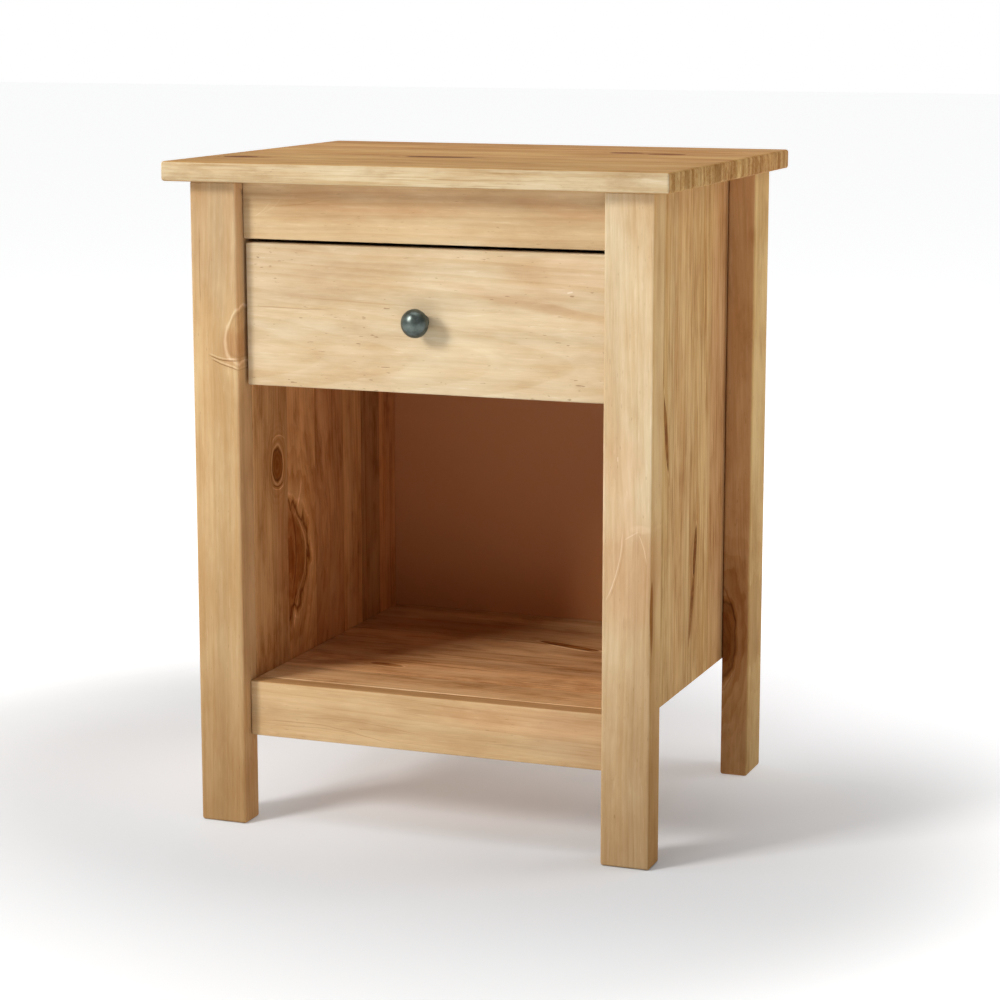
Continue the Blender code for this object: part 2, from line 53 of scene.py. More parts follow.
# What darker and lighter marks multiply the wood's colour by
LATE_WOOD = (0.80, 0.67, 0.50)
CLOUD = (0.66, 0.54, 0.42)
STREAK = (0.84, 0.74, 0.60)
HAIR = (0.60, 0.47, 0.34)
RESIN = (0.42, 0.31, 0.22)
HEART = (0.60, 0.43, 0.26)
RIM = (0.38, 0.25, 0.13)
RIDGE = (1.24, 1.40, 1.66)
GLUE = (0.66, 0.55, 0.45)
END_GRAIN = (1.08, 1.20, 1.42)
# Painted shade that darkens a leg towards its foot
FOOT_SHADE = (0.76, 0.67, 0.58)
ROSE = (1.02, 0.93, 0.90)
PINKER = (1.0, 0.93, 0.90)
PALER = (1.05, 1.08, 1.12)
SPARK = (1.22, 1.36, 1.60)
GLEAM = (1.55, 1.90, 2.40)

# Glued staves, in metres
SEAM = 0.0007  # half width of the dark line where two of them meet
PITH_SPREAD = 0.12  # how far apart their piths may lie across the board
PITH_SINK = 0.02  # how much deeper a stave's pith may lie
STAVE_STRIDE = 7.31  # how far apart two neighbours lie in the noise

# A knot in a board. Places are measured from the board's middle, in metres: along the
# grain, across it and through the thickness. long, wide and deep are its half sizes, lean
# is how far it shifts across per metre along. heart, rim, ridge and ripple say how dark its
# body and its outline are and how clear the pale line and the rings round it are. pull is
# how much it turns the grain, beyond is the joint that cuts it off, if one does, and line is
# how wide its outline is.
Knot = namedtuple(
    "Knot",
    "along across long wide depth deep lean heart rim ridge ripple pull beyond line",
    defaults=(0.0, 0.05, 0.0, 0.8, 0.7, 0.5, 0.5, 0.85, None, 0.0015),
)

# A soft-edged patch of another tone, placed and sized like a knot
Patch = namedtuple("Patch", "along across long wide tint strength lean", defaults=(1.0, 0.0))

# A thin curved line: its middle, the angle it turns away from the grain in degrees, its half
# length, how much it bows (across per length squared), its half width, its tint and how
# clearly it shows
Line = namedtuple("Line", "along across turn long bow width tint strength")

# How a board is cut: its grain's direction, its width's direction, the glued joints between
# its staves (measured across from its middle), the pith's offset across and depth below
# the middle with their drift per metre along the grain, and the width of a growth ring.
# tone multiplies its colour; on the drawer front, the apron, the bottom rail and the right front leg
# its pale, blue-raised value is partly the wood's paler tone and partly painted sheen. figure,
# streaks, hairs, resin and mottle say how clearly its growth rings, long streaks, hair-fine dark
# lines, short dark flecks and irregular clouds show, and vary says how much its staves differ in
# tone. foot says how strongly painted shade darkens a leg towards the floor, and edge tints the
# long edge on the side edge_side; on the top board and the legs that tint is painted light where
# it lightens and painted shade where it darkens.
Board = namedtuple(
    "Board",
    "grain width joints pith_across pith_depth drift ring seed tone figure streaks hairs resin"
    " mottle vary foot edge edge_side knots patches lines",
    defaults=(
        (), 0.0, 0.045, (0.0, 0.05), 0.0045, 0.0, (1.0, 1.0, 1.0), 0.25, 0.4, 0.15, 0.3,
        0.2, 0.2, 0.0, None, 1, (), (), (),
    ),
)


class Graph:
    """A node tree, with short ways to add nodes."""

    def __init__(self, tree):
        self.nodes = tree.nodes
        self.links = tree.links

    def plug(self, value, socket):
        if isinstance(value, bpy.types.NodeSocket):
            self.links.new(value, socket)
        elif value is not None:
            socket.default_value = value

    def math(self, operation, *values):
        node = self.nodes.new("ShaderNodeMath")
        node.operation = operation
        for value, socket in zip(values, node.inputs):
            self.plug(value, socket)
        return node.outputs[0]

    def vector(self, operation, *values):
        node = self.nodes.new("ShaderNodeVectorMath")
        node.operation = operation
        for value, socket in zip(values, node.inputs):
            self.plug(value, socket)
        return node.outputs["Value" if operation == "DOT_PRODUCT" else "Vector"]

    def combine(self, x, y, z):
        node = self.nodes.new("ShaderNodeCombineXYZ")
        for value, socket in zip((x, y, z), node.inputs):
            self.plug(value, socket)
        return node.outputs[0]

    def separate(self, vector):
        node = self.nodes.new("ShaderNodeSeparateXYZ")
        self.plug(vector, node.inputs[0])
        return node.outputs

    def noise(self, vector, detail=2.0, roughness=0.5, scale=1.0):
        node = self.nodes.new("ShaderNodeTexNoise")
        self.plug(vector, node.inputs["Vector"])
        node.inputs["Scale"].default_value = scale
        node.inputs["Detail"].default_value = detail
        node.inputs["Roughness"].default_value = roughness
        return node.outputs["Fac"]

    def chance(self, value):
        """Three random numbers that stay the same for the same value."""
        node = self.nodes.new("ShaderNodeTexWhiteNoise")
        node.noise_dimensions = "1D"
        self.plug(value, node.inputs["W"])
        return self.separate(node.outputs["Color"])

    def smooth(self, value, low, high, to_low=0.0, to_high=1.0):
        """Goes smoothly from to_low at low to to_high at high."""
        node = self.nodes.new("ShaderNodeMapRange")
        node.interpolation_type = "SMOOTHSTEP"
        for number, socket in zip((value, low, high, to_low, to_high), node.inputs):
            self.plug(number, socket)
        return node.outputs[0]

    def mix(self, share, first, second, kind="MIX"):
        node = self.nodes.new("ShaderNodeMix")
        node.data_type = "RGBA"
        node.blend_type = kind
        self.plug(share, node.inputs["Factor"])
        for value, socket in zip((first, second), (node.inputs[6], node.inputs[7])):
            if isinstance(value, tuple):
                value = (*value, 1.0)
            self.plug(value, socket)
        return node.outputs[2]


class Tree(Graph):
    """A material's node tree, ending in its shader."""

    def __init__(self, name):
        self.material = bpy.data.materials.new(name)
        self.material.use_nodes = True
        super().__init__(self.material.node_tree)
        self.shader = self.nodes["Principled BSDF"]
        self.coordinates = self.nodes.new("ShaderNodeTexCoord")

    def bump(self, height, strength, distance):
        node = self.nodes.new("ShaderNodeBump")
        node.inputs["Strength"].default_value = strength
        node.inputs["Distance"].default_value = distance
        self.plug(height, node.inputs["Height"])
        self.plug(node.outputs["Normal"], self.shader.inputs["Normal"])

    def set(self, colour, roughness, metallic=0.0):
        self.plug(colour, self.shader.inputs["Base Color"])
        self.plug(roughness, self.shader.inputs["Roughness"])
        self.shader.inputs["Metallic"].default_value = metallic

    def dim_gloss(self, level):
        self.shader.inputs["Specular IOR Level"].default_value = level


def board_coordinates(tree, name, board):
    """Coordinates from the board's middle: along the grain, across it and through it."""
    low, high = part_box(name)
    middle = (low + high) / 2
    place = tree.vector("SUBTRACT", tree.coordinates.outputs["Object"], tuple(middle))
    parts = tree.separate(place)
    grain = AXES[board.grain]
    width = AXES[board.width]
    through = 3 - grain - width
    return parts[grain], parts[width], parts[through]


def oval(tree, mark, along, across):
    """Run and side from the middle of a leaning knot or patch."""
    run = tree.math("SUBTRACT", along, mark.along)
    side = tree.math("SUBTRACT", across, mark.across)
    return run, tree.math("MULTIPLY_ADD", run, -mark.lean, side)


def knot_pattern(tree, knot, along, across, through, wobble):
    """How far out, in the knot's radii; how near and how much of it shows, from 0 to 1; the
    grain's shift."""
    run, side = oval(tree, knot, along, across)
    down = tree.math("SUBTRACT", through, knot.depth)
    share = tree.vector("DIVIDE", tree.combine(run, side, down), (knot.long, knot.wide, knot.deep))
    out = tree.math("SQRT", tree.vector("DOT_PRODUCT", share, share))
    out = tree.math("MULTIPLY_ADD", wobble, 0.6, out)
    kept = 1.0
    if knot.beyond is not None:
        kind = "GREATER_THAN" if knot.across >= knot.beyond else "LESS_THAN"
        kept = tree.math(kind, across, knot.beyond)
    near = tree.math("EXPONENT", tree.math("MULTIPLY", tree.math("POWER", out, 2.0), -0.32))
    near = tree.math("MULTIPLY", near, kept)
    shift = tree.math("MULTIPLY", tree.math("MULTIPLY", side, near), -knot.pull)
    return out, near, kept, shift


def add_knots(tree, board, along, across, through, wobble):
    """Turns the grain round every knot. Returns the new across and the knots' patterns."""
    patterns = []
    bent = across
    for knot in board.knots:
        out, near, kept, shift = knot_pattern(tree, knot, along, across, through, wobble)
        bent = tree.math("ADD", bent, shift)
        patterns.append((knot, out, near, kept))
    return bent, patterns


def line_at(tree, value, place, width):
    """1 where the value is at the place, fading to 0 at that width from it."""
    gap = tree.math("ABSOLUTE", tree.math("SUBTRACT", value, place))
    return tree.smooth(gap, width, 0.0)


def tint(tree, colour, amount, factor, *shares):
    """Multiplies the colour by a factor, as far as the amount and the shares say."""
    for share in shares:
        amount = tree.math("MULTIPLY", amount, share)
    return tree.mix(amount, colour, factor, "MULTIPLY")


def paint_knots(tree, colour, patterns, fibre):
    """Draws each knot over the wood: rings round it, a pale ridge, a dark rim, a brown heart."""
    for knot, out, near, kept in patterns:
        rings = tree.math("FRACT", tree.math("MULTIPLY", out, 2.6))
        ripple = tree.math("MULTIPLY", tree.smooth(rings, 0.2, 0.85), tree.smooth(rings, 1.0, 0.88))
        colour = tint(tree, colour, ripple, STREAK, near, knot.ripple * 1.6)
        colour = tint(tree, colour, near, LATE_WOOD, 0.5 * knot.heart)
        inside = tree.math("MULTIPLY", tree.smooth(out, 1.04, 0.86), kept)
        colour = tint(tree, colour, inside, HEART, knot.heart)
        speckle = tree.smooth(fibre, 0.45, 0.65)
        colour = tint(tree, colour, tree.math("MULTIPLY", speckle, inside), HEART, 0.5 * knot.heart)
        middle = tree.math("MULTIPLY", tree.smooth(out, 0.5, 0.1), kept)
        colour = tint(tree, colour, middle, HEART, 0.7 * knot.heart)
        thin = min(0.13, knot.line / knot.wide)
        ridge = tree.math("MULTIPLY", line_at(tree, out, 1.04 + thin, thin), kept)
        colour = tint(tree, colour, ridge, RIDGE, knot.ridge)
        rim = tree.math("MULTIPLY", line_at(tree, out, 0.98, thin), kept)
        colour = tint(tree, colour, rim, RIM, knot.rim)
    return colour


def paint_patches(tree, colour, board, along, across, wobble):
    """Washes each patch's tint over the wood, soft at its edge."""
    for patch in board.patches:
        run, side = oval(tree, patch, along, across)
        share = tree.vector("DIVIDE", tree.combine(run, side, 0.0), (patch.long, patch.wide, 1.0))
        out = tree.math("SQRT", tree.vector("DOT_PRODUCT", share, share))
        out = tree.math("MULTIPLY_ADD", wobble, 0.5, out)
        colour = tint(tree, colour, tree.smooth(out, 1.25, 0.55), patch.tint, patch.strength)
    return colour


def paint_lines(tree, colour, board, along, across, wobble):
    """Draws each thin curved line, fading out at its ends."""
    for line in board.lines:
        sine = math.sin(math.radians(line.turn))
        cosine = math.cos(math.radians(line.turn))
        run = tree.math("SUBTRACT", along, line.along)
        side = tree.math("SUBTRACT", across, line.across)
        course = tree.math("MULTIPLY_ADD", side, sine, tree.math("MULTIPLY", run, cosine))
        offset = tree.math("MULTIPLY_ADD", run, -sine, tree.math("MULTIPLY", side, cosine))
        bend = tree.math("MULTIPLY", tree.math("POWER", course, 2.0), line.bow)
        offset = tree.math("MULTIPLY_ADD", wobble, 0.002, offset)
        stroke = line_at(tree, offset, bend, line.width)
        ends = tree.smooth(tree.math("ABSOLUTE", course), line.long, 0.6 * line.long)
        colour = tint(tree, colour, tree.math("MULTIPLY", stroke, ends), line.tint, line.strength)
    return colour


def growth_rings(tree, board, along, across, through, waves, luck):
    """How dark the late wood is, from 0 to 1, from the distance to the stave's pith."""
    drift_across, drift_depth = board.drift
    pith = tree.math("MULTIPLY_ADD", along, drift_across, board.pith_across)
    depth = tree.math("MULTIPLY_ADD", along, drift_depth, board.pith_depth)
    if board.joints:
        pith = tree.math("MULTIPLY_ADD", tree.math("SUBTRACT", luck[0], 0.5), PITH_SPREAD, pith)
        depth = tree.math("MULTIPLY_ADD", luck[1], PITH_SINK, depth)
    far = tree.combine(
        tree.math("SUBTRACT", across, pith),
        tree.math("ADD", through, depth),
        0.0,
    )
    radius = tree.math("SQRT", tree.vector("DOT_PRODUCT", far, far))
    years = tree.math("DIVIDE", radius, board.ring)
    years = tree.math("MULTIPLY_ADD", waves, 2.0, years)
    year = tree.math("FLOOR", years)
    part = tree.math("FRACT", years)
    late = tree.math("MULTIPLY", tree.smooth(part, 0.05, 0.88), tree.smooth(part, 1.0, 0.90))
    strength = tree.math("MULTIPLY_ADD", tree.chance(year)[0], 0.95, 0.15)
    return tree.math("MULTIPLY", late, strength)


def pine(name, board):
    """Lacquered pine cut from a log: rings, streaks, flecks, knots and glued staves."""
    tree = Tree("pine_" + name)
    along, across, through = board_coordinates(tree, name, board)
    # Each stave is a piece of another tree: its number picks its tone and its pith
    stave = 0.0
    for joint in board.joints:
        stave = tree.math("ADD", tree.math("GREATER_THAN", across, joint), stave)
    stave = tree.math("MULTIPLY_ADD", stave, STAVE_STRIDE, board.seed + 0.5)
    luck = tree.chance(stave)
    away = tree.combine(stave, tree.math("MULTIPLY", stave, 0.37), tree.math("MULTIPLY", stave, 0.61))
    place = tree.vector("ADD", tree.combine(along, across, through), away)
    wobble = tree.noise(tree.vector("MULTIPLY", place, (38.0, 85.0, 85.0)), 2.0)
    wobble = tree.math("SUBTRACT", wobble, 0.5)
    bent, patterns = add_knots(tree, board, along, across, through, wobble)
    waves = tree.noise(tree.vector("MULTIPLY", place, (3.0, 14.0, 14.0)), 2.5)
    waves = tree.math("SUBTRACT", waves, 0.5)
    bent = tree.math("MULTIPLY_ADD", waves, 0.010, bent)
    flow = tree.vector("ADD", tree.combine(along, bent, through), away)
    blotch = tree.noise(tree.vector("MULTIPLY", place, (9.0, 26.0, 26.0)), 3.0, 0.6)
    band = tree.noise(tree.vector("MULTIPLY", flow, (1.6, 42.0, 42.0)), 2.0, 0.6)
    streak = tree.noise(tree.vector("MULTIPLY", flow, (5.0, 190.0, 190.0)), 4.0, 0.7)
    hair = tree.noise(tree.vector("MULTIPLY", flow, (11.0, 620.0, 620.0)), 2.0, 0.6)
    fibre = tree.noise(tree.vector("MULTIPLY", flow, (70.0, 1100.0, 1100.0)), 3.0, 0.7)
    late = growth_rings(tree, board, along, bent, through, waves, luck)

    # Colour: soft clouds, bands, growth rings, streaks, hairs and fibres
    colour = tree.mix(tree.smooth(blotch, 0.30, 0.70), PALE, HONEY)
    shade = tree.smooth(band, 0.3, 0.7, 1.06, 0.94)
    shade = tree.math("MULTIPLY_ADD", tree.math("SUBTRACT", 0.5, fibre), 0.22, shade)
    if board.joints:
        level = tree.math("MULTIPLY_ADD", luck[2], board.vary, 0.99 - board.vary / 2)
        shade = tree.math("MULTIPLY", shade, level)
        rosy = tree.smooth(luck[1], 0.3, 0.9)
        colour = tint(tree, colour, rosy, ROSE)
    colour = tree.mix(1.0, colour, tree.combine(shade, shade, shade), "MULTIPLY")
    colour = tint(tree, colour, late, LATE_WOOD, board.figure)
    colour = tint(tree, colour, tree.smooth(streak, 0.42, 0.68), STREAK, board.streaks)
    patchy = tree.smooth(tree.noise(tree.vector("MULTIPLY", place, (6.0, 20.0, 20.0)), 1.0), 0.35, 0.65)
    colour = tint(tree, colour, tree.smooth(hair, 0.52, 0.70), HAIR, patchy, board.hairs)
    cloud = tree.noise(tree.vector("MULTIPLY", flow, (16.0, 50.0, 50.0)), 5.0, 0.7)
    wash = tree.smooth(cloud, 0.44, 0.70)
    colour = tint(tree, colour, wash, CLOUD, tree.smooth(blotch, 0.35, 0.60), board.mottle)
    colour = tree.mix(1.0, colour, board.tone, "MULTIPLY")
    # Painted shade: the leg darkens smoothly towards the floor, by foot at floor level
    if board.foot:
        height = tree.separate(tree.coordinates.outputs["Object"])[2]
        colour = tint(tree, colour, tree.smooth(height, 0.32, -0.04, 0.0, board.foot), FOOT_SHADE)
    colour = paint_patches(tree, colour, board, along, across, wobble)

    # Resin flecks: short dark dashes along the grain, in loose groups
    dashes = tree.noise(tree.vector("MULTIPLY", flow, (120.0, 560.0, 560.0)), 1.0)
    crowd = tree.noise(tree.vector("MULTIPLY", place, (10.0, 24.0, 24.0)), 1.0)
    dashes = tree.math("MULTIPLY_ADD", crowd, 0.22, dashes)
    dashes = tree.math("MULTIPLY", tree.smooth(dashes, 0.83, 0.90), board.resin)
    colour = tint(tree, colour, dashes, RESIN)
    pale = tree.noise(tree.vector("MULTIPLY", flow, (45.0, 420.0, 420.0)), 2.0)
    colour = tint(tree, colour, tree.smooth(pale, 0.60, 0.72), RIDGE, 0.22)
    colour = paint_knots(tree, colour, patterns, fibre)
    colour = paint_lines(tree, colour, board, along, across, wobble)

    # A hair-thin dark line where two staves meet
    seam = 0.0
    for joint in board.joints:
        seam = tree.math("MAXIMUM", line_at(tree, across, joint, SEAM), seam)
    if board.joints:
        colour = tint(tree, colour, seam, GLUE, 0.8)

    # The faces on one long side get a tint; on the top board and the legs it is painted light where
    # it lightens them and painted shade where it darkens them. End grain is pale with dark strips
    facing = tree.separate(tree.coordinates.outputs["Normal"])
    end = tree.smooth(tree.math("ABSOLUTE", facing[AXES[board.grain]]), 0.55, 0.9)
    if board.edge:
        side = tree.math("MULTIPLY", facing[AXES[board.width]], board.edge_side)
        long_edge = tree.smooth(side, 0.3, 0.8)
        colour = tint(tree, colour, long_edge, board.edge)
    pores = tree.smooth(fibre, 0.35, 0.65, 0.6, 1.0)
    colour = tint(tree, colour, end, END_GRAIN, pores)
    strip = tree.noise(tree.vector("MULTIPLY", place, (0.0, 110.0, 9.0)), 3.0, 0.75)
    colour = tint(tree, colour, tree.smooth(strip, 0.42, 0.60), CLOUD, end)

    gloss = tree.math("MULTIPLY_ADD", blotch, 0.16, 0.36)
    gloss = tree.math("MULTIPLY_ADD", end, 0.15, gloss)
    tree.set(colour, gloss)
    tree.dim_gloss(0.01)
    relief = tree.math("MULTIPLY_ADD", late, 0.3, tree.math("MULTIPLY", fibre, 0.6))
    relief = tree.math("MULTIPLY_ADD", seam, -0.9, relief)
    relief = tree.math("MULTIPLY_ADD", dashes, -0.8, relief)
    tree.bump(relief, 0.35, 0.00014)
    return tree.material


def fibreboard(name, colour, mottle):
    """Smooth painted fibreboard, with a faint mottle of pressed fibres."""
    tree = Tree(name)
    place = tree.coordinates.outputs["Object"]
    cloud = tree.noise(place, 3.0, 0.6, 9.0)
    grain = tree.noise(place, 3.0, 0.7, 420.0)
    shade = tree.math("MULTIPLY_ADD", cloud, mottle, 1.0 - mottle / 2)
    shade = tree.math("MULTIPLY_ADD", grain, mottle, shade)
    tinted = tree.mix(1.0, colour, tree.combine(shade, shade, shade), "MULTIPLY")
    tree.set(tinted, tree.math("MULTIPLY_ADD", grain, 0.2, 0.5))
    tree.bump(grain, 0.2, 0.0001)
    return tree.material


def dark_metal():
    """Blackened metal with a soft gloss and faint turning marks."""
    tree = Tree("dark_metal")
    place = tree.coordinates.outputs["Object"]
    patina = tree.noise(place, 4.0, 0.6, 160.0)
    colour = tree.mix(tree.smooth(patina, 0.3, 0.75), (0.062, 0.078, 0.070), (0.125, 0.150, 0.138))
    tree.set(colour, tree.math("MULTIPLY_ADD", patina, 0.12, 0.25), metallic=0.7)
    tree.bump(patina, 0.15, 0.00005)
    return tree.material


def zinc():
    """Bright zinc plating, a little cloudy."""
    tree = Tree("zinc_plating")
    cloud = tree.noise(tree.coordinates.outputs["Object"], 3.0, 0.6, 240.0)
    colour = tree.mix(cloud, (0.50, 0.50, 0.49), (0.68, 0.68, 0.70))
    tree.set(colour, tree.math("MULTIPLY_ADD", cloud, 0.2, 0.28), metallic=1.0)
    tree.bump(cloud, 0.1, 0.00005)
    return tree.material


def nylon():
    """Off-white moulded plastic with a fine spark-eroded texture."""
    tree = Tree("nylon")
    grain = tree.noise(tree.coordinates.outputs["Object"], 2.0, 0.5, 900.0)
    colour = tree.mix(grain, (0.70, 0.68, 0.62), (0.76, 0.74, 0.69))
    tree.set(colour, tree.math("MULTIPLY_ADD", grain, 0.15, 0.42))
    tree.bump(grain, 0.15, 0.00006)
    return tree.material


def beech(grain):
    """Plain beech: short dark pores along the grain on a pinkish ground."""
    tree = Tree("beech_" + grain)
    stretch = [420.0, 420.0, 420.0]
    stretch[AXES[grain]] = 40.0
    place = tree.vector("MULTIPLY", tree.coordinates.outputs["Object"], tuple(stretch))
    pores = tree.noise(place, 2.0, 0.6)
    cloud = tree.noise(tree.coordinates.outputs["Object"], 2.0, 0.5, 14.0)
    colour = tree.mix(cloud, (0.52, 0.32, 0.19), (0.60, 0.39, 0.24))
    colour = tree.mix(tree.smooth(pores, 0.56, 0.72, 0.0, 0.5), colour, (0.30, 0.15, 0.08))
    tree.set(colour, tree.math("MULTIPLY_ADD", pores, 0.2, 0.5))
    tree.bump(pores, 0.25, 0.0001)
    return tree.material


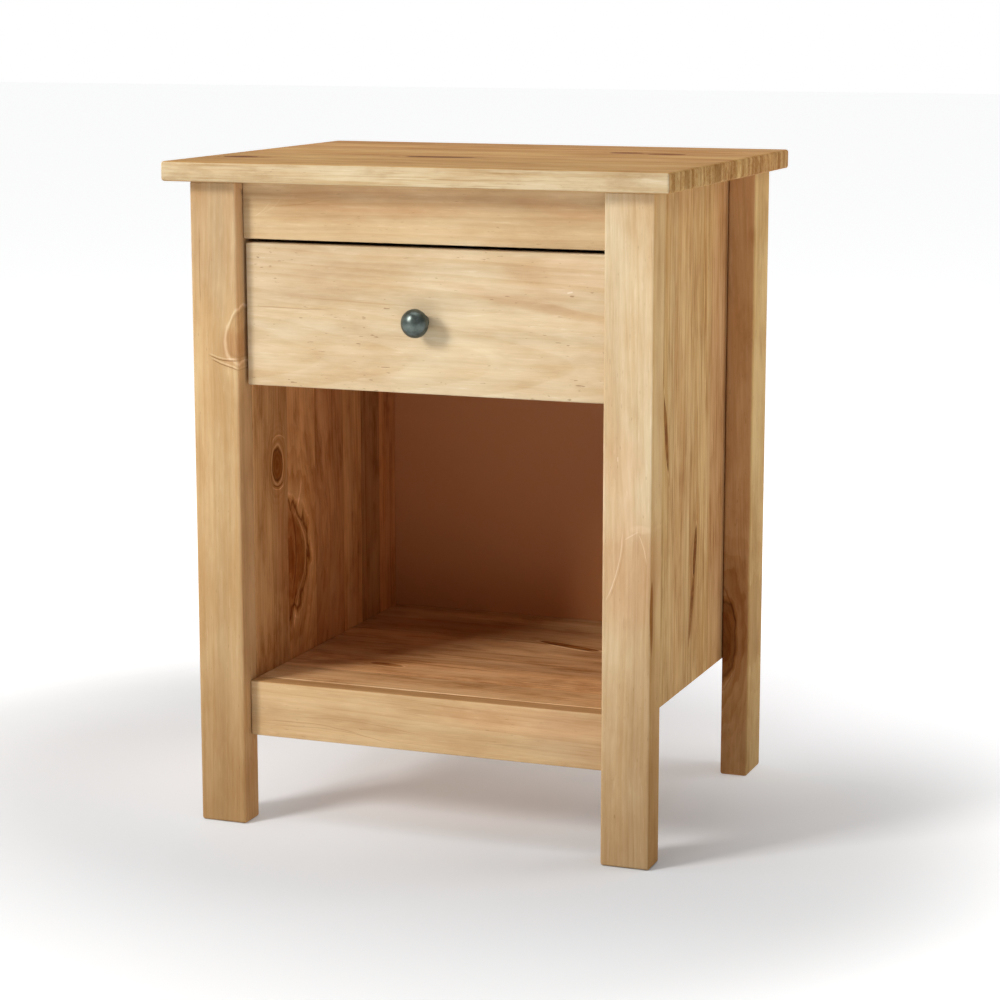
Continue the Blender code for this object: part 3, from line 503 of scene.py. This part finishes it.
# Every pine board: how it is cut and what shows on it
BOARDS = {
    "top_panel": Board(
        "x",
        "y",
        joints=(-0.150, -0.092, -0.040, 0.006, 0.050, 0.094, 0.146),
        seed=3.0,
        tone=(0.87, 0.84, 0.645),
        figure=0.4,
        streaks=1.0,
        hairs=0.7,
        mottle=0.5,
        # The front face's pale, blue-raised edge tint is painted sheen.
        edge=(1.16, 1.60, 2.9),
        edge_side=-1,
        knots=(
            Knot(-0.203, -0.105, 0.016, 0.011, heart=1.0, rim=1.0, ripple=1.0),
            Knot(-0.030, -0.046, 0.034, 0.009, heart=1.0, rim=1.0, ripple=1.0),
            Knot(0.112, 0.078, 0.016, 0.010, heart=1.0),
            Knot(0.155, 0.070, 0.018, 0.010, heart=1.0),
        ),
        lines=(
            Line(-0.020, -0.046, 0.0, 0.045, 0.0, 0.0040, RIM, 0.9),
            Line(-0.195, -0.105, 0.0, 0.025, 0.0, 0.0040, RIM, 0.7),
            Line(0.135, 0.074, 0.0, 0.045, 0.0, 0.0040, RIM, 0.6),
            Line(-0.090, 0.020, 0.0, 0.100, 0.0, 0.0050, HAIR, 0.6),
            Line(0.080, -0.120, 0.0, 0.120, 0.0, 0.0040, HAIR, 0.6),
            Line(0.060, 0.120, 0.0, 0.140, 0.0, 0.0060, STREAK, 1.0),
            Line(-0.120, -0.070, 0.0, 0.080, 0.0, 0.0040, STREAK, 1.0),
        ),
    ),
    "apron": Board(
        "x",
        "z",
        pith_across=-0.05,
        drift=(0.05, 0.04),
        seed=11.0,
        # Its pale, blue-raised tone is partly the wood's paler colour and partly painted sheen.
        tone=(0.975, 1.145, 1.385),
        streaks=0.25,
        patches=(
            # Painted light: a pale band along the apron's top thins the shadow under the top board's
            # overhang.
            Patch(0.0, 0.027, 0.50, 0.014, (1.12, 1.14, 1.16)),
            Patch(-0.03, 0.012, 0.13, 0.014, PINKER),
            Patch(0.10, -0.02, 0.08, 0.010, PALER, lean=0.1),
            Patch(0.13, 0.010, 0.05, 0.008, PINKER, lean=-0.15),
        ),
        lines=(
            Line(-0.155, 0.000, 40.0, 0.012, 12.0, 0.0009, SPARK, 0.35),
            Line(-0.145, 0.003, 35.0, 0.014, 12.0, 0.0008, SPARK, 0.30),
            Line(-0.120, 0.006, 8.0, 0.030, 3.0, 0.0008, STREAK, 0.6),
        ),
    ),
    "bottom_rail": Board(
        "x",
        "z",
        pith_across=0.06,
        drift=(-0.05, 0.02),
        ring=0.0034,
        seed=17.0,
        # Its pale, blue-raised tone is partly the wood's paler colour and partly painted sheen.
        tone=(1.055, 1.155, 1.30),
        hairs=0.3,
        edge=(0.78, 0.67, 0.55),
        patches=(
            Patch(0.10, 0.012, 0.09, 0.016, PINKER),
            Patch(0.15, 0.0, 0.05, 0.03, (0.92, 0.89, 0.90)),
        ),
        lines=(
            Line(-0.110, -0.010, -3.0, 0.060, -1.5, 0.0005, HAIR, 0.5),
            Line(-0.090, -0.014, -3.0, 0.070, -1.2, 0.0005, HAIR, 0.5),
            Line(-0.060, -0.004, -3.0, 0.070, -1.0, 0.0005, STREAK, 0.8),
        ),
    ),
    "rear_rail": Board("x", "z", pith_across=0.02, seed=19.0),
    "drawer_front": Board(
        "x",
        "z",
        pith_across=-0.036,
        pith_depth=-0.0477,
        drift=(0.0, -0.08),
        ring=0.0062,
        seed=23.0,
        # Its pale, blue-raised tone is partly the wood's paler colour and partly painted sheen.
        tone=(1.08, 1.37, 1.86),
        figure=0.32,
        streaks=0.3,
        hairs=0.1,
        resin=0.6,
        patches=(
            Patch(0.13, 0.045, 0.05, 0.022, PINKER, 0.7),
            Patch(0.10, 0.020, 0.09, 0.006, (0.94, 0.86, 0.82), 0.8, -0.18),
            Patch(-0.13, 0.040, 0.08, 0.030, (0.91, 0.88, 0.86)),
        ),
        lines=(
            Line(-0.129, 0.0072, 0.0, 0.042, 0.0, 0.0008, HAIR, 0.6),
            Line(-0.060, 0.0150, -2.0, 0.060, 0.0, 0.0010, STREAK, 0.6),
            Line(0.140, 0.031, 10.0, 0.003, 0.0, 0.0010, SPARK, 1.0),
        ),
    ),
    "front_leg_left": Board(
        "z",
        "x",
        pith_across=0.05,
        drift=(0.01, 0.03),
        seed=29.0,
        tone=(0.945, 1.05, 1.16),
        foot=1.0,
        # Painted light on the leg's inner side face.
        edge=(1.34, 1.26, 1.22),
        patches=(
            # Painted shade: darker towards the top of the leg, under the top board.
            Patch(0.30, 0.0, 0.12, 0.06, (0.88, 0.88, 0.92)),
            Patch(0.150, 0.016, 0.020, 0.010, (0.88, 0.78, 0.74)),
        ),
        knots=(
            Knot(
                0.163, 0.0250, 0.0230, 0.0125,
                lean=0.18, heart=0.25, rim=0.25, ridge=1.0, ripple=0.1, pull=0.3,
            ),
        ),
        lines=(
            Line(0.1400, 0.0085, 98.0, 0.0170, -10.0, 0.0010, SPARK, 1.0),
            Line(0.1382, 0.0085, 98.0, 0.0170, -10.0, 0.0008, RESIN, 0.9),
            Line(0.1352, 0.0100, 108.0, 0.0160, -2.0, 0.0010, SPARK, 1.0),
            Line(0.1335, 0.0100, 108.0, 0.0160, -2.0, 0.0008, RESIN, 0.8),
            Line(0.2250, -0.0140, 0.0, 0.0400, 0.0, 0.0005, RESIN, 0.7),
            Line(0.1950, -0.0060, 2.0, 0.0500, 0.5, 0.0004, HAIR, 0.5),
        ),
    ),
    "front_leg_right": Board(
        "z",
        "x",
        pith_across=-0.06,
        seed=31.0,
        # Its pale, blue-raised tone is partly the wood's paler colour and partly painted sheen.
        tone=(1.05, 1.26, 1.57),
        foot=0.8,
        # Painted shade on the leg's outer side face, taking the tone's painted sheen back off it.
        edge=(0.97, 0.83, 0.61),
        patches=(
            Patch(-0.030, 0.0, 0.060, 0.030, (0.96, 0.87, 0.84)),
            Patch(0.060, -0.006, 0.035, 0.020, (0.98, 0.92, 0.90)),
            # Painted sheen: a pale, blue-raised wash over the upper part of the leg.
            Patch(0.17, 0.0, 0.28, 0.08, (1.04, 1.09, 1.16)),
            Patch(0.008, 0.013, 0.004, 0.010, (1.10, 1.13, 1.18)),
        ),
        knots=(
            Knot(
                -0.070, 0.0238, 0.032, 0.0026,
                depth=-0.0130, deep=0.004, heart=0.9, rim=0.4, ridge=0.0, ripple=0.2, pull=0.2,
            ),
        ),
        lines=(
            Line(-0.0275, -0.0083, 13.4, 0.0370, -3.6, 0.0008, SPARK, 1.0),
            Line(-0.0090, 0.0154, -15.9, 0.0160, -6.0, 0.0007, SPARK, 0.9),
            Line(0.0020, 0.0040, 60.0, 0.0080, 0.0, 0.0007, SPARK, 0.7),
            Line(-0.0300, -0.0068, 13.4, 0.0330, -3.6, 0.0009, STREAK, 0.5),
            Line(0.0690, -0.0090, 0.0, 0.0025, 0.0, 0.0010, SPARK, 1.0),
            Line(0.1500, 0.0080, 0.0, 0.0900, 0.1, 0.0005, STREAK, 0.6),
        ),
    ),
    "back_leg_left": Board("z", "y", pith_across=0.04, seed=37.0, foot=0.4),
    "back_leg_right": Board(
        "z",
        "x",
        pith_across=-0.03,
        seed=41.0,
        tone=(1.05, 0.98, 0.95),
        hairs=0.3,
        mottle=0.5,
        foot=0.35,
        # Painted light on the leg's outer side face.
        edge=(1.02, 1.16, 1.06),
        patches=(Patch(-0.150, -0.004, 0.060, 0.020, (0.78, 0.68, 0.60)),),
        knots=(
            Knot(-0.165, -0.0138, 0.050, 0.016, heart=0.8, ridge=0.3, ripple=1.0, lean=0.08),
        ),
        lines=(
            Line(-0.1845, -0.0050, -10.7, 0.0220, -5.0, 0.0007, SPARK, 1.0),
            Line(-0.2095, -0.0085, 27.8, 0.0130, 0.0, 0.0008, SPARK, 1.0),
            Line(-0.2070, -0.0070, 27.8, 0.0110, 0.0, 0.0009, HAIR, 0.8),
            Line(-0.1250, -0.0050, -20.0, 0.0250, -5.0, 0.0012, HAIR, 0.8),
        ),
    ),
    "side_panel_left": Board(
        "z",
        "y",
        joints=(-0.0955, -0.032, 0.0345, 0.0795, 0.125),
        seed=43.0,
        tone=(1.24, 1.15, 1.07),
        figure=0.4,
        streaks=0.8,
        hairs=0.6,
        mottle=1.0,
        vary=0.45,
        patches=(
            Patch(-0.125, -0.0955, 0.055, 0.030, (0.94, 0.84, 0.80)),
            Patch(0.0, -0.010, 0.30, 0.022, (1.12, 1.16, 1.22)),
            Patch(-0.050, -0.112, 0.050, 0.014, (0.92, 0.84, 0.78)),
        ),
        knots=(
            Knot(
                -0.030, -0.117, 0.017, 0.0105,
                heart=0.9, rim=0.9, ridge=1.0, ripple=1.0, line=0.0022,
            ),
            Knot(
                -0.125, -0.0955, 0.056, 0.046,
                heart=0.65, rim=0.9, ridge=1.0, ripple=1.0, beyond=-0.0955, line=0.0035,
            ),
        ),
        lines=(
            Line(-0.0510, -0.1155, 90.0, 0.0130, -30.0, 0.0012, RIM, 0.9),
            Line(-0.0540, -0.1150, 90.0, 0.0140, -26.0, 0.0010, GLEAM, 1.0),
            Line(-0.0020, -0.1150, 90.0, 0.0160, 24.0, 0.0012, GLEAM, 0.7),
            Line(-0.1200, -0.0780, 0.0, 0.0450, -6.0, 0.0026, RIM, 0.8),
            Line(-0.1750, -0.0860, 20.0, 0.0220, 4.0, 0.0024, RIM, 0.9),
            Line(-0.1780, -0.0800, 20.0, 0.0200, 4.0, 0.0020, GLEAM, 0.9),
            Line(-0.0700, -0.0700, 25.0, 0.0220, -10.0, 0.0020, GLEAM, 0.6),
            Line(-0.1250, -0.0560, 0.0, 0.0500, -14.0, 0.0022, GLEAM, 0.8),
            Line(0.0500, 0.0100, 2.0, 0.1200, 0.3, 0.0018, HAIR, 0.7),
            Line(-0.0600, 0.0900, -1.0, 0.1400, 0.0, 0.0020, HAIR, 0.7),
        ),
    ),
    "side_panel_right": Board(
        "z",
        "y",
        joints=(-0.120, -0.082, -0.048, 0.006, 0.072, 0.118),
        seed=47.0,
        tone=(1.05, 1.12, 1.06),
        figure=0.4,
        streaks=1.0,
        hairs=1.0,
        mottle=0.55,
        vary=0.3,
        patches=(
            Patch(-0.02, -0.13, 0.30, 0.07, (0.98, 1.04, 1.00)),
            Patch(0.0, 0.13, 0.30, 0.07, (0.92, 0.88, 0.94)),
            Patch(-0.140, 0.020, 0.070, 0.012, (0.86, 0.80, 0.74)),
        ),
        knots=(
            Knot(0.013, -0.070, 0.034, 0.0045, lean=-0.2, heart=1.0, rim=0.9, ridge=0.3),
            Knot(-0.112, 0.026, 0.022, 0.0045, lean=0.15, heart=1.0, rim=0.9, ridge=0.8),
            Knot(-0.165, 0.017, 0.034, 0.0050, lean=0.2, heart=0.7, rim=0.4, ridge=0.0),
        ),
        lines=(
            Line(-0.1130, 0.0330, 8.0, 0.0180, 0.0, 0.0014, SPARK, 1.0),
            Line(-0.1180, 0.0290, 8.0, 0.0240, 0.0, 0.0016, RIM, 0.9),
            Line(-0.0900, -0.0900, 2.0, 0.0600, 0.3, 0.0016, HAIR, 0.6),
            Line(0.1500, 0.0500, -1.0, 0.0800, 0.0, 0.0018, HAIR, 0.6),
            Line(0.0900, -0.1000, 0.0, 0.1000, 0.2, 0.0016, HAIR, 0.5),
        ),
    ),
    "shelf": Board(
        "x",
        "y",
        joints=(-0.118, -0.060, -0.004, 0.050, 0.110),
        seed=53.0,
        tone=(1.12, 1.18, 1.27),
        figure=0.4,
        streaks=0.8,
        hairs=0.6,
        mottle=1.0,
        vary=0.35,
        patches=(
            Patch(-0.100, -0.078, 0.060, 0.014, (0.72, 0.62, 0.54), 1.0, 0.35),
            # Painted shade: darker towards the back of the shelf, deep under the drawer.
            Patch(-0.020, 0.090, 0.120, 0.035, (0.76, 0.68, 0.60)),
            Patch(0.110, 0.020, 0.050, 0.016, (0.84, 0.76, 0.70)),
        ),
        knots=(
            Knot(0.060, 0.050, 0.034, 0.0050, lean=-0.3, heart=1.0, rim=1.0, ridge=0.8),
            Knot(-0.080, -0.083, 0.016, 0.005, lean=-0.1, heart=0.8, rim=0.6),
        ),
        lines=(
            Line(0.0600, 0.0450, -18.0, 0.0380, 2.0, 0.0020, RIM, 1.0),
            Line(0.0600, 0.0410, -18.0, 0.0360, 2.0, 0.0016, GLEAM, 1.0),
            Line(0.0900, -0.1020, -2.0, 0.0320, 0.0, 0.0014, GLEAM, 0.8),
            # Painted highlight: a pale line along the shelf's eased front edge.
            Line(0.0, -0.1655, 0.0, 0.3000, 0.0, 0.0012, GLEAM, 0.5),
            Line(-0.0300, -0.0700, -4.0, 0.0700, 0.5, 0.0020, HAIR, 0.8),
            Line(0.0200, -0.0300, -3.0, 0.0900, 0.5, 0.0020, HAIR, 0.7),
        ),
    ),
    "drawer_side_left": Board("y", "z", pith_across=0.03, seed=59.0, tone=PALER),
    "drawer_side_right": Board("y", "z", pith_across=-0.04, seed=61.0, tone=PALER),
    "drawer_back": Board("x", "z", pith_across=0.02, seed=67.0, tone=PALER),
}

# These boards have cuts that show, so they keep their crisp edges
CRISP = ("drawer_side_left", "drawer_side_right", "drawer_back", "rear_rail")


def dress(name, material):
    """Gives a CAD node its only material."""
    data = nodes[name].data
    data.materials.clear()
    data.materials.append(material)
    data.polygons.foreach_set("material_index", [0] * len(data.polygons))


def soften(name):
    """Shades a board's eased edges as smooth curves between flat faces."""
    item = nodes[name]
    item.data.shade_smooth()
    weld = item.modifiers.new("weld", "WELD")
    weld.merge_threshold = 0.00001
    even = item.modifiers.new("even_normals", "WEIGHTED_NORMAL")
    even.weight = 100


def dress_cad_nodes():
    metal = zinc()
    plastic = nylon()
    sheet = fibreboard("painted_fibreboard", (0.505, 0.205, 0.065), 0.05)
    timber = {axis: beech(axis) for axis in AXES}
    for name in nodes:
        if name in BOARDS:
            dress(name, pine(name, BOARDS[name]))
            if name not in CRISP:
                soften(name)
        elif name in ("back_panel", "drawer_bottom"):
            dress(name, sheet)
        elif name.startswith("drawer_stop"):
            dress(name, plastic)
        elif name.startswith("drawer_runner"):
            dress(name, timber["y"])
        elif "dowel" in name:
            low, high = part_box(name)
            size = high - low
            longest = max(AXES, key=lambda axis: size[AXES[axis]])
            dress(name, timber[longest])
        elif name != "knob":
            dress(name, metal)


def link(name, mesh, material):
    """Makes an object of a finished bmesh."""
    data = bpy.data.meshes.new(name)
    mesh.to_mesh(data)
    mesh.free()
    data.shade_smooth()
    data.set_sharp_from_angle(angle=math.radians(50))
    data.materials.append(material)
    item = bpy.data.objects.new(name, data)
    bpy.context.scene.collection.objects.link(item)
    return item


def lathe(mesh, profile, start, direction, sides):
    """Turns a profile of (distance along the axis, radius) round a line."""
    turn = Vector(direction).to_track_quat("Z", "Y")
    rings = []
    for along, radius in profile:
        count = sides if radius > 0 else 1
        ring = []
        for i in range(count):
            angle = 2 * math.pi * i / sides
            point = Vector((radius * math.cos(angle), radius * math.sin(angle), along))
            ring.append(mesh.verts.new(Vector(start) + turn @ point))
        rings.append(ring)
    for near, far in zip(rings, rings[1:]):
        for i in range(sides):
            j = (i + 1) % sides
            corners = [near[i % len(near)], near[j % len(near)], far[j % len(far)], far[i % len(far)]]
            mesh.faces.new(list(dict.fromkeys(corners)))
    bmesh.ops.recalc_face_normals(mesh, faces=mesh.faces)


def arc(start, end, bulge, steps):
    """Points on a curve from start to end, pushed to its left by bulge at the middle."""
    points = []
    for i in range(1, steps + 1):
        share = i / steps
        push = bulge * 4 * share * (1 - share)
        run = (end[0] - start[0], end[1] - start[1])
        size = math.hypot(*run)
        x = start[0] + run[0] * share - run[1] / size * push
        y = start[1] + run[1] * share + run[0] / size * push
        points.append((x, y))
    return points


def make_knob():
    """A turned mushroom knob: flanged foot, waisted neck and a low dome."""
    low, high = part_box("knob")
    middle = (low + high) / 2
    tall = high.y - low.y
    wide = (high.x - low.x) / 2
    foot = 0.595 * wide
    neck = 0.35 * wide
    rim = 0.62 * tall
    foot_start = (0.0, foot - 0.0005)
    foot_end = (0.0024, foot - 0.0003)
    waist = (0.30 * tall, neck)
    flare = (0.55 * tall, wide - 0.0016)
    profile = [(0.0, 0.0), foot_start]
    profile += arc(foot_start, foot_end, -0.0004, 6)
    profile += arc(foot_end, waist, 0.0006, 8)
    profile += arc(waist, flare, 0.0022, 12)
    profile += arc(flare, (rim, wide), -0.0005, 6)
    steps = 22
    for i in range(1, steps):
        angle = math.pi / 2 * i / steps
        profile.append((rim + (tall - rim) * math.sin(angle), wide * math.cos(angle)))
    profile.append((tall, 0.0))
    mesh = bmesh.new()
    lathe(mesh, profile, (middle.x, high.y, middle.z), (0, -1, 0), 72)
    knob = link("knob_turned", mesh, dark_metal())
    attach(knob, "drawer")
    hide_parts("knob")


def make_nails():
    """Small domed nails round the edge of the back panel."""
    low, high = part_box("back_panel")
    inset = 0.009
    head = 0.0016
    height = 0.0006
    left = low.x + inset
    right = high.x - inset
    bottom = low.z + inset
    top = high.z - inset
    places = []
    rows = 6
    for i in range(rows):
        z = bottom + (top - bottom) * i / (rows - 1)
        places += [(left, z), (right, z)]
    columns = 4
    for i in range(1, columns):
        x = left + (right - left) * i / columns
        places += [(x, bottom), (x, top)]
    mesh = bmesh.new()
    profile = [(0.0, head)]
    profile += arc((0.0, head), (height, 0.0), -0.0003, 5)[:-1] + [(height, 0.0)]
    for x, z in places:
        lathe(mesh, profile, (x, high.y - 0.00002, z), (0, 1, 0), 16)
    nails = link("back_nails", mesh, bpy.data.materials["zinc_plating"])
    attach(nails, "carcass")


# Where the floor glows: the middle, the distances from it where the glow is nothing and
# where it is full, and its strength. The first two rings whiten the far floor, and the
# others lighten the shadow under and behind the table.
GLOWS = (
    ((-0.12, -0.12, 0.0), 0.50, 0.85, 0.45),
    ((-0.12, -0.12, 0.0), 0.80, 1.40, 0.25),
    ((-0.14, 0.02, 0.0), 0.36, 0.10, 0.21),
    ((0.34, 0.16, 0.0), 0.45, 0.05, 0.18),
    ((0.12, 0.34, 0.0), 0.36, 0.05, 0.31),
)


def make_floor():
    """A plain pale floor that fades to white away from the table."""
    half_size = 20.0
    mesh = bmesh.new()
    bmesh.ops.create_grid(mesh, x_segments=1, y_segments=1, size=half_size)
    tree = Tree("floor")
    flat = tree.vector("MULTIPLY", tree.coordinates.outputs["Object"], (1.0, 1.0, 0.0))
    away = tree.math("SQRT", tree.vector("DOT_PRODUCT", flat, flat))
    colour = tree.mix(tree.smooth(away, 0.30, 0.75), (0.69, 0.71, 0.735), (0.93, 0.94, 0.95))
    tree.set(colour, 0.9)
    tree.dim_gloss(0.1)
    tree.shader.inputs["Emission Color"].default_value = (1, 1, 1, 1)
    glow = 0.0
    for place, none_at, full_at, gain in GLOWS:
        offset = tree.vector("SUBTRACT", flat, place)
        distance = tree.math("SQRT", tree.vector("DOT_PRODUCT", offset, offset))
        glow = tree.math("ADD", glow, tree.smooth(distance, none_at, full_at, 0.0, gain))
    tree.plug(glow, tree.shader.inputs["Emission Strength"])
    floor = link("floor", mesh, tree.material)
    floor.location.z = -0.0002


def area_light(name, place, target, size, power, colour=(1, 1, 1)):
    data = bpy.data.lights.new(name, "AREA")
    data.shape = "RECTANGLE"
    data.size, data.size_y = size
    data.energy = power
    data.color = colour
    lamp = bpy.data.objects.new(name, data)
    lamp.location = place
    aim = Vector(target) - Vector(place)
    lamp.rotation_mode = "QUATERNION"
    lamp.rotation_quaternion = aim.to_track_quat("-Z", "Y")
    bpy.context.scene.collection.objects.link(lamp)


def light_scene():
    """A soft key from the front left, weak lights from above and from the right behind, and
    a room that is bright at the horizon."""
    middle = (0.0, -0.1, 0.38)
    area_light("key", (-1.64, -2.26, 1.75), middle, (0.75, 0.75), 68.0, (1.0, 0.98, 0.95))
    area_light("overhead", (-0.2, -0.35, 2.5), (0, 0, 0.2), (1.8, 1.8), 27.0)
    area_light("right", (2.2, 0.9, 1.9), middle, (1.2, 1.2), 12.0)
    world = bpy.data.worlds.new("room")
    world.use_nodes = True
    room = Graph(world.node_tree)
    direction = room.nodes.new("ShaderNodeTexCoord")
    _, back, up = room.separate(direction.outputs["Generated"])
    wall = room.smooth(back, -0.7, -0.1, 0.25, 1.0)
    fade = room.smooth(up, 0.06, 0.32)
    ceiling = 0.25
    strength = room.math("MULTIPLY_ADD", fade, room.math("SUBTRACT", ceiling, wall), wall)
    background = room.nodes["Background"]
    background.inputs["Color"].default_value = (1, 1, 1, 1)
    room.plug(strength, background.inputs["Strength"])
    bpy.context.scene.world = world
    bpy.context.scene.view_settings.view_transform = "Standard"


def place_camera():
    """A long lens from the front right, a little above the top board."""
    data = bpy.data.cameras.new("camera")
    data.sensor_width = 36.0
    data.lens = 97.9
    camera = bpy.data.objects.new("camera", data)
    camera.location = (0.9217, -2.3914, 0.7637)
    turn_left = math.radians(20.79)
    look_down = math.radians(10.44)
    camera.rotation_euler = (math.pi / 2 - look_down, 0.0, turn_left)
    bpy.context.scene.collection.objects.link(camera)
    bpy.context.scene.camera = camera


place_camera()
dress_cad_nodes()
make_knob()
make_nails()
make_floor()
light_scene()
